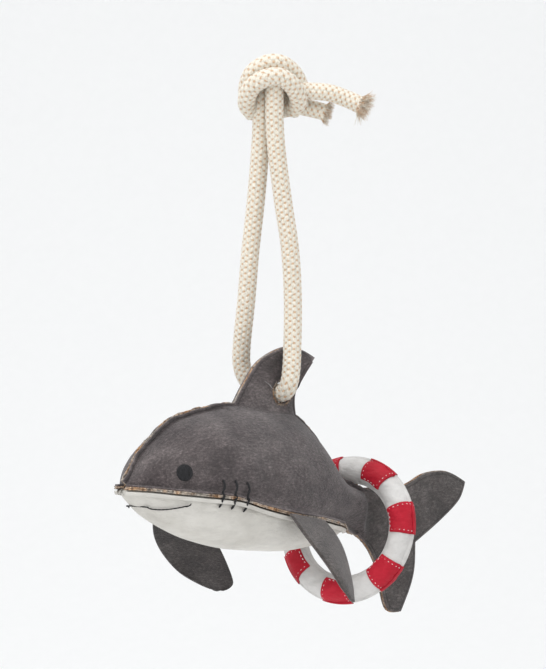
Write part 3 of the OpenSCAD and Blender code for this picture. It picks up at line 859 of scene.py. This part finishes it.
def belly_sheet(name, d, thickness, extra, soft, roll):
    us, steps = np.linspace(0, 11, 130), 64
    rows = []
    for u in us:
        root = seam(u) - lip_up(u) * (SKIN - d) - lip_out(u) * d
        waver = 0.5 * math.sin(2.6 * u + 1) + 0.35 * math.sin(7.4 * u)
        lip = root + lip_out(u) * (RAW_EDGE + d + (extra + waver) * calm_at_fin(u))
        rolled = [lip - lip_up(u) * 0.5 * roll]
        rolled += [root + (lip - root) * share - lip_up(u) * drop * roll for share, drop in LIP_ROLL]
        row = rolled + [belly_point(u, math.pi * j / steps, d) for j in range(steps + 1)]
        rows.append(row + [p * [1, -1, 1] for p in rolled[::-1]])
    grid = np.array(rows)
    flat = grid.reshape(-1, 3)
    if soft:
        near_seam = np.clip(1 - np.abs(flat[:, 2] + 84) / 40, 0.15, 1)
        swell = wobble(flat, 13, 1.0) * 0.55 + wobble(flat * [1, 1, 1.6], 5.5, 4.0) * 0.3 * near_seam
        inside = np.ones(grid.shape[:2])
        inside[:, :8] = inside[:, -8:] = 0
        outward = flat - np.stack([flat[:, 0], np.zeros(len(flat)), np.full(len(flat), -80.0)], axis=1)
        outward /= np.linalg.norm(outward, axis=1)[:, None] + 1e-9
        flat = flat + outward * (swell * inside.ravel() * soft)[:, None]
    piece = mesh_piece(name, (flat + HOLE) * MM, grid_faces(*grid.shape[:2]))
    face_toward(piece, (0, 0, -1))
    # The distance from the seam root, which the white leather uses to paint shade in the groove under the lip.
    roots = np.stack([grid[:, 7], grid[:, -8]], axis=1)
    away = np.linalg.norm(grid[:, :, None] - roots[:, None], axis=3).min(axis=2)
    away[:, :5] = away[:, -5:] = 10
    add_value(piece, "groove", np.minimum(away, 10).ravel())
    return thicken(piece, thickness * MM, rim_material=1)


belly_skin = belly_sheet("leather_belly", 0, SUEDE, 0.4, 1.0, 1.0)
dress(belly_skin, white_leather, leather_edge)
belly_jute = belly_sheet("belly_jute", SUEDE, SKIN - SUEDE, 0.4, 0, 0)
dress(belly_jute, jute, jute)
for piece, slot_name in ((belly_skin, "white_leather"), (belly_jute, "jute")):
    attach(piece, "shark")
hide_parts("belly_panel")
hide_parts("belly_backing")
print("belly", len(belly_skin.data.polygons), "faces")

# %% [markdown]
# ## Eyes, gills and mouth
# They are sewn with thick black thread. A thread is two yarns twisted round each other, so its
# cross-section is a rounded eight that turns as it goes along.

# %% Twisted thread
def thread_runs(name, lines, radius, material):
    points, faces, offset = [], [], 0
    sides = 12
    for route in lines:
        line, _ = smooth_line(route, 0.45)
        side, up = side_frames(line)
        for i in range(len(line)):
            squeeze = min(1.0, 0.35 + 0.65 * math.sqrt(min(i, len(line) - 1 - i) / 3.0))
            for k in range(sides):
                a = 2 * math.pi * k / sides
                r = radius * squeeze * (0.86 + 0.2 * abs(math.cos(a - i * 0.45)))
                points.append(line[i] + side[i] * r * math.cos(a) + up[i] * r * math.sin(a))
        body = grid_faces(len(line), sides, closed=True)
        last = (len(line) - 1) * sides
        body.append(tuple(range(sides))[::-1])
        body.append(tuple(last + k for k in range(sides)))
        faces += [tuple(v + offset for v in f) for f in body]
        offset += len(line) * sides
    piece = mesh_piece(name, (np.array(points) + HOLE) * MM, faces)
    face_outward(piece)
    return dress(piece, material)


def side_normal(u, t):
    n = np.cross(side_point(u + 0.1, t, 0) - side_point(u - 0.1, t, 0),
                 side_point(u, t + 0.03, 0) - side_point(u, t - 0.03, 0))
    n = unit(n)
    return n if n[1] > 0 else -n


for side, name in ((-1, "left"), (1, "right")):
    lines = []
    for i in range(3):
        u = 4.45 + 0.39 * i
        out = lip_out(u)
        top = side_point(u + 0.06, 0.13, 0) + side_normal(u, 0.12) * 0.7
        edge = seam(u) + out * (RAW_EDGE + 1.0)
        low = belly_point(u - 0.06, math.radians(12), 0) + out * 1.6
        route = [top, (top + edge) / 2 + out * 0.9 + [1.1, 0, 1.4], edge + [-0.4, 0, SKIN + 0.5],
                 edge + [1.0, 0, 0.2], edge + [-0.8, 0, -SKIN - 0.2], (edge + low) / 2 + [0.6, 0, -1.0], low]
        lines.append([p * [1, side, 1] for p in route])
    gills = thread_runs(f"{name}_gill_thread", lines, 0.9, black_thread)
    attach(gills, "shark")
    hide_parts(f"{name}_gill_stitches")
    print(name, "gills", len(gills.data.polygons), "faces")


def mouth_point(u, z=-85.5):
    a, b = (seam(u) - lip_up(u) * SKIN)[2], belly(u)[2]
    w = math.asin(min(1, (a - z) / (a - b)))
    p = belly_point(u, w, 0)
    return p + unit([-0.6 * math.sin(w), math.cos(w), -math.sin(w)]) * 1.45


half = [mouth_point(1.5 + 1.85 * s, -83.6 - 2.6 * math.sin(math.pi * s**0.8))
        for s in np.linspace(0.03, 1, 17)]
mouth_lines = [[p * [1, -1, 1] for p in half[::-1]] + half]
corner = half[-1]
for side in (-1, 1):
    mouth_lines.append([(corner + [-3.2, -0.3, -0.9]) * [1, side, 1], (corner + [0.3, 0.6, 0.3]) * [1, side, 1],
                        (corner + [1.6, 0.4, 1.6]) * [1, side, 1]])
mouth = thread_runs("mouth_thread", mouth_lines, 0.5, black_thread)
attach(mouth, "shark")
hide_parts("mouth_stitch")


EYE_R = 6.6


def eye_patch(name, side):
    p, n = side_point(3.2, 0.23, 0) * [1, side, 1], side_normal(3.2, 0.23) * [1, side, 1]
    up = unit(np.array([0, 0, 1]) - n * n[2])
    right = np.cross(up, n)
    rings, turns = 22, 96
    points = []
    for i in range(rings + 1):
        rho = i / rings
        for k in range(turns):
            a = 2 * math.pi * k / turns
            x, y = EYE_R * rho * math.cos(a), EYE_R * rho * math.sin(a)
            ridge_here = 0.16 * abs(math.sin(x * math.pi / 0.95)) * min(1, (1 - rho) * 6)
            lift = 1.35 * math.sqrt(max(0, 1 - rho**2)) + ridge_here
            points.append(p + right * x + up * y + n * (lift + 0.15 - 0.9 * (rho > 0.999)))
    piece = mesh_piece(name, (np.array(points) + HOLE) * MM, grid_faces(rings + 1, turns, closed=True))
    only(piece)
    bpy.ops.object.mode_set(mode="EDIT")
    bpy.ops.mesh.select_all(action="SELECT")
    bpy.ops.mesh.remove_doubles(threshold=0.00001)
    bpy.ops.mesh.select_all(action="DESELECT")
    bpy.ops.mesh.select_non_manifold()
    bpy.ops.mesh.edge_face_add()
    bpy.ops.mesh.select_all(action="SELECT")
    bpy.ops.mesh.normals_make_consistent(inside=False)
    bpy.ops.object.mode_set(mode="OBJECT")
    return dress(piece, black_thread)


for side, name in ((-1, "left"), (1, "right")):
    eye = eye_patch(f"{name}_eye_stitching", side)
    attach(eye, "shark")
    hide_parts(f"{name}_eye")
print("eyes and mouth ready")

# %% [markdown]
# ## Side fins
# Each side fin is a flap of suede caught in the belly seam. It leaves the seam sloping down and its
# own weight curls it further, so the sheet follows an arc and is slightly cupped.

# %% Side fins
def side_fin(name, ends, side, fin_length, droop, sweep, widths):
    a = np.array(ends, dtype=float)
    mid, chord0 = a.mean(axis=0), unit(a[1] - a[0])
    steps, across_steps, root = 44, 20, 44.0
    grid = []
    for i in range(steps + 1):
        s = i / steps
        angles = [math.radians(droop[0] + (droop[1] - droop[0]) * (k + 0.5) / steps) for k in range(i)]
        step = fin_length / steps
        outward, down = step * sum(map(math.cos, angles)), step * sum(map(math.sin, angles))
        place = mid + [sweep * s**1.4, side * outward, -down]
        here, turn = math.radians(droop[0] + (droop[1] - droop[0]) * s), math.radians(24 * s)
        chord = unit(chord0 * math.cos(turn) + np.array([0, -side * math.sin(turn), 0]))
        face = np.array([0, side * math.sin(here), math.cos(here)])
        half_width = along(np.array(widths)[:, None], 6 * s)[0] * root / 2
        if s > 0.86:
            half_width *= math.sqrt(max(0.0, 1 - ((s - 0.86) / 0.15) ** 2))
        row = []
        for j in range(across_steps + 1):
            b = 2 * j / across_steps - 1
            ripple = 0.9 * math.sin(3.1 * b + 5 * s) * s
            row.append(place + chord * b * half_width + face * (1.1 - 5 * s * b * b + ripple))
        grid.append(row)
    grid = np.array(grid)
    flat = grid.reshape(-1, 3)
    border = np.concatenate([grid[:, 0], grid[-1], grid[::-1, -1]])
    piece = mesh_piece(name, (flat + HOLE) * MM, grid_faces(*grid.shape[:2]))
    face_toward(piece, (0, 0, 1))
    add_value(piece, "edge", to_line(flat, border))
    area = sum(p.area for p in piece.data.polygons)
    return thicken(piece, 2.0 * MM, rim_material=1), area


fin_plans = {
    "left": ([[-33, -49, -93.5], [11, -42, -101.5]], -1, 77, (36, 82), 14, [1, 1.16, 1.22, 1.14, 0.98, 0.78, 0.5]),
    "right": ([[-80, 50.5, -84], [-36, 50, -92.5]], 1, 84, (46, 88), 60, [1, 1.18, 1.32, 1.4, 1.34, 1.14, 0.75]),
}
for name, (ends, side, fin_length, droop, sweep, widths) in fin_plans.items():
    fin, area = side_fin(f"{name}_suede_fin", ends, side, fin_length, droop, sweep, widths)
    # The far fin takes the darker suede copy, which is painted shade.
    dress(fin, suede_fin if side < 0 else shaded_far_fin_suede, suede_edge)
    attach(fin, f"{name}_fin")
    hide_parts(f"{name}_fin")
    print(name, "fin", round(area * 1e4, 1), "cm2")

# %% [markdown]
# ## Life ring
# Two leather rings are sewn face to face at the inner and outer edge and stuffed, which leaves a thin
# flange at both seams and small puckers beside it. The profile of the tube is turned round the
# ring's axis; lumps in the stuffing and the puckers are then pushed into the skin.

# %% Ring covers
spin = joints["ring_spin"]
ring_centre = np.array(spin["pos_m"]) / MM
ring_axis = unit(spin["axis"])
turn = Matrix.Rotation(math.radians(17.6), 3, "Z") @ Matrix.Rotation(math.radians(-77), 3, "Y")
ring_turn = np.array(turn)
print("ring axis from the frame", ring_axis, "and from the turn", ring_turn[:, 2])
# Middle of the tube to the axis, tube radius, sewn flange and leather thickness.
RING_R, TUBE_R, FLANGE, RING_SKIN = 49.7, 9.5, 1.8, 1.2


def ring_profile():
    rim = TUBE_R + FLANGE
    points = [(rim, 0.0, 0.0), (rim, RING_SKIN * 0.85, 0.0), (TUBE_R + 0.5, RING_SKIN, 0.6)]
    for a in np.linspace(math.radians(9), math.radians(171), 30):
        points.append((TUBE_R * math.cos(a), TUBE_R * math.sin(a) + 0.25, 1.0))
    points += [(-x, z, free) for x, z, free in points[2::-1]]
    return np.array(points)


def ring_place(theta, x, z):
    local = np.array([(RING_R + x) * math.cos(theta), (RING_R + x) * math.sin(theta), z])
    return ring_turn @ local + ring_centre


def ring_bulge(theta, x, z, free):
    seamward = max(0.0, 1 - abs(z) / 7.5)
    pucker = 0.34 * seamward * math.sin(theta * 47 + 1.3 * math.sin(theta * 5)) * free
    lump = 0.35 * math.sin(theta * 5 + 1) + 0.25 * math.sin(theta * 11 + z * 0.2)
    lump += 0.2 * math.sin(theta * 23 + x * 0.5)
    return 1 + (pucker + lump * free) / TUBE_R


def ring_cover(name, front):
    profile = ring_profile()
    around = 288
    points = []
    for k in range(around):
        theta = 2 * math.pi * k / around
        for x, z, free in profile:
            grow = ring_bulge(theta, x, z, free)
            points.append(ring_place(theta, x * grow, z * grow * front))
    count = len(profile)
    faces = []
    for k in range(around):
        for j in range(count - 1):
            a, b = k * count + j, ((k + 1) % around) * count + j
            faces.append((a, b, b + 1, a + 1))
    piece = mesh_piece(name, np.array(points) * MM, faces)
    face_toward(piece, ring_axis * front)
    return dress(piece, ring_leather)


for front, name in ((1, "front"), (-1, "back")):
    cover = ring_cover(f"ring_{name}_leather", front)
    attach(cover, "ring")
    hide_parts(f"ring_{name}_cover")
print("ring covers ready")

# %% [markdown]
# ## Red patches and their stitches
# Seven red patches lie on each cover, sewn down near their edges with white thread. A patch is a
# thin sheet that follows the cover a millimetre above it, rounded down at its border, with a row of
# short dashes along its two sides and its inner end.

# %% Patches
BANDS, BAND_FIRST = 7, math.radians(24)
BAND_HALF = math.pi / BANDS / 2


def patch_surface(theta, a, front, lift):
    if a <= 0:
        x, z = TUBE_R + (FLANGE + 0.3) * min(1, -a), max(0.0, (RING_SKIN + 0.2) * min(1, 2 * (1.5 + a)))
        free = 0.0
    else:
        x, z, free = (TUBE_R + lift) * math.cos(a), (TUBE_R + lift) * math.sin(a) + 0.25, 1.0
        z = max(z, RING_SKIN + lift)
    grow = ring_bulge(theta, x, z, free)
    return ring_place(theta, x * grow, z * grow * front)


# Along one stitch: share of its length, thickness there and height above the leather.
DASH_SHAPE = ((0.0, 0.35, -0.5), (0.2, 0.95, 0.1), (0.5, 1.0, 0.3), (0.8, 0.95, 0.1), (1.0, 0.35, -0.5))
DASH_R = 0.4


def dash(points_out, faces_out, start, end, lift_way):
    base = len(points_out)
    axis = unit(end - start)
    side = unit(np.cross(axis, lift_way))
    for share, size, rise in DASH_SHAPE:
        middle = start + (end - start) * share + lift_way * rise * DASH_R
        for k in range(6):
            w = k * math.pi / 3
            points_out.append(middle + (side * math.cos(w) + lift_way * math.sin(w)) * DASH_R * size)
    for i in range(4):
        for k in range(6):
            a, b = base + 6 * i + k, base + 6 * i + (k + 1) % 6
            faces_out.append((a, b, b + 6, a + 6))
    faces_out.append(tuple(base + k for k in range(6))[::-1])
    faces_out.append(tuple(base + 24 + k for k in range(6)))


inner_end = math.radians(134)
for front, name in ((1, "front"), (-1, "back")):
    points, faces, dash_points, dash_faces = [], [], [], []
    for band in range(BANDS):
        middle = BAND_FIRST + band * 2 * math.pi / BANDS
        base = len(points)
        turns, ups = 26, [-1.5, -1.0, -0.5, 0.0] + list(np.linspace(0.09, 1, 30) * inner_end)
        for i in range(turns + 1):
            s = 2 * i / turns - 1
            for a in ups:
                side_in = (1 - abs(s)) * BAND_HALF * RING_R
                end_in = (inner_end - max(a, 0)) * TUBE_R
                border = min(1.0, min(side_in, end_in) / 0.9)
                lift = 0.15 + 0.95 * math.sqrt(max(0.0, 1 - (1 - border) ** 2))
                points.append(patch_surface(middle + s * BAND_HALF, a, front, lift))
        count = len(ups)
        for i in range(turns):
            for j in range(count - 1):
                a = base + i * count + j
                faces.append((a, a + count, a + count + 1, a + 1))
        stitch_angle = BAND_HALF - 1.9 / RING_R
        for s in (-1, 1):
            theta = middle + s * stitch_angle
            for a in np.arange(0.12, inner_end - 0.3, 0.34):
                p, q = (patch_surface(theta, v, front, 1.25) for v in (a, a + 0.22))
                out = unit(p - ring_place(theta, 0, 0))
                dash(dash_points, dash_faces, p, q, out)
        for k in range(4):
            t0 = middle + (-0.8 + 0.42 * k) * stitch_angle
            p, q = (patch_surface(v, inner_end - 0.19, front, 1.3) for v in (t0, t0 + 0.3 * stitch_angle))
            out = unit(p - ring_place(t0, 0, 0))
            dash(dash_points, dash_faces, p, q, out)
    patches = mesh_piece(f"ring_{name}_red_patches", np.array(points) * MM, faces)
    face_toward(patches, ring_axis * front)
    thicken(patches, 0.5 * MM)
    dress(patches, red_leather)
    stitches = mesh_piece(f"ring_{name}_patch_stitches", np.array(dash_points) * MM, dash_faces)
    face_outward(stitches)
    dress(stitches, white_thread)
    for piece, slot_name in ((patches, "red_leather"), (stitches, "white_leather")):
        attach(piece, "ring")
    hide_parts(f"ring_{name}_patches")
    print(name, "patches", len(patches.data.polygons), "stitches", len(stitches.data.polygons))

# %% [markdown]
# ## Hidden and plain pieces
# The stuffing and the jute inside the tail are covered all over by the sheets, but they keep a
# finish of their own, in case a seam opens or a view looks in at an edge.

# %% Inner pieces
stuffing, tree, shader = finish_of("stuffing_fibre", (0.85, 0.83, 0.78), 0.95, sheen=0.3)
wool = noise(tree, 400, 5)
tree.links.new(ramp(tree, wool, [(0.3, (0.7, 0.68, 0.62)), (0.7, (0.9, 0.88, 0.84))]), shader.inputs["Base Color"])
add_bump(tree, shader, [(wool, 0.002, 0.8)])
inner = {"body_stuffing": stuffing, "stem_stuffing": stuffing, "ring_stuffing": stuffing, "tail_backing": jute}
for node, material in inner.items():
    cad_piece = frame["nodes"][node]
    for slot_here in cad_piece.material_slots:
        slot_here.material = material
    if not cad_piece.material_slots:
        cad_piece.data.materials.append(material)
print("inner pieces", sorted(inner))

# %% [markdown]
# ## Stage and light
# A pale sweep runs from the floor up behind the toy with no corner to see. Light is soft and mostly
# from above and in front, from wide panels, so shadows have no hard edges.

# %% Stage
profile = [(-3.5, -0.75), (1.2, -0.75)]
profile += [(1.2 + 1.6 * math.sin(a), -0.75 + 1.6 * (1 - math.cos(a))) for a in np.linspace(0.1, math.pi / 2, 16)]
profile += [(2.8, 5.0)]
sweep_points = []
for near, height in profile:
    for wide in (-6.0, 6.0):
        p = look_at - toward * near + across * wide
        sweep_points.append((p.x, p.y, height))
sweep = mesh_piece("pale_sweep", sweep_points, grid_faces(len(profile), 2))
paper, tree, shader = finish_of("pale_paper", (0.9, 0.905, 0.91), 0.9)
tree.links.new(ramp(tree, noise(tree, 60, 3), [(0.3, (0.925, 0.925, 0.922)), (0.7, (0.935, 0.935, 0.932))]),
               shader.inputs["Base Color"])
dress(sweep, paper)

world = bpy.data.worlds.new("studio")
bpy.context.scene.world = world
world.use_nodes = True
world.node_tree.nodes["Background"].inputs["Color"].default_value = (0.97, 0.985, 1.0, 1)
world.node_tree.nodes["Background"].inputs["Strength"].default_value = 0.75


def panel(name, right, near, up, size, power, aim=(0, 0, -0.25)):
    data = bpy.data.lights.new(name, "AREA")
    data.shape = "RECTANGLE"
    data.size, data.size_y = size
    data.energy = power
    light = bpy.data.objects.new(name, data)
    bpy.context.collection.objects.link(light)
    light.location = Vector(seen(right, near, up))
    light.rotation_euler = (Vector(aim) - light.location).to_track_quat("-Z", "Y").to_euler()


panel("top_panel", -0.3, 0.5, 1.6, (1.6, 1.6), 26)
panel("front_left_panel", -1.5, 1.6, 0.5, (1.2, 1.4), 13)
panel("right_fill_panel", 1.7, 0.9, 0.2, (1.0, 1.4), 5)
bpy.context.scene.view_settings.view_transform = "Standard"
print("stage and lights ready")
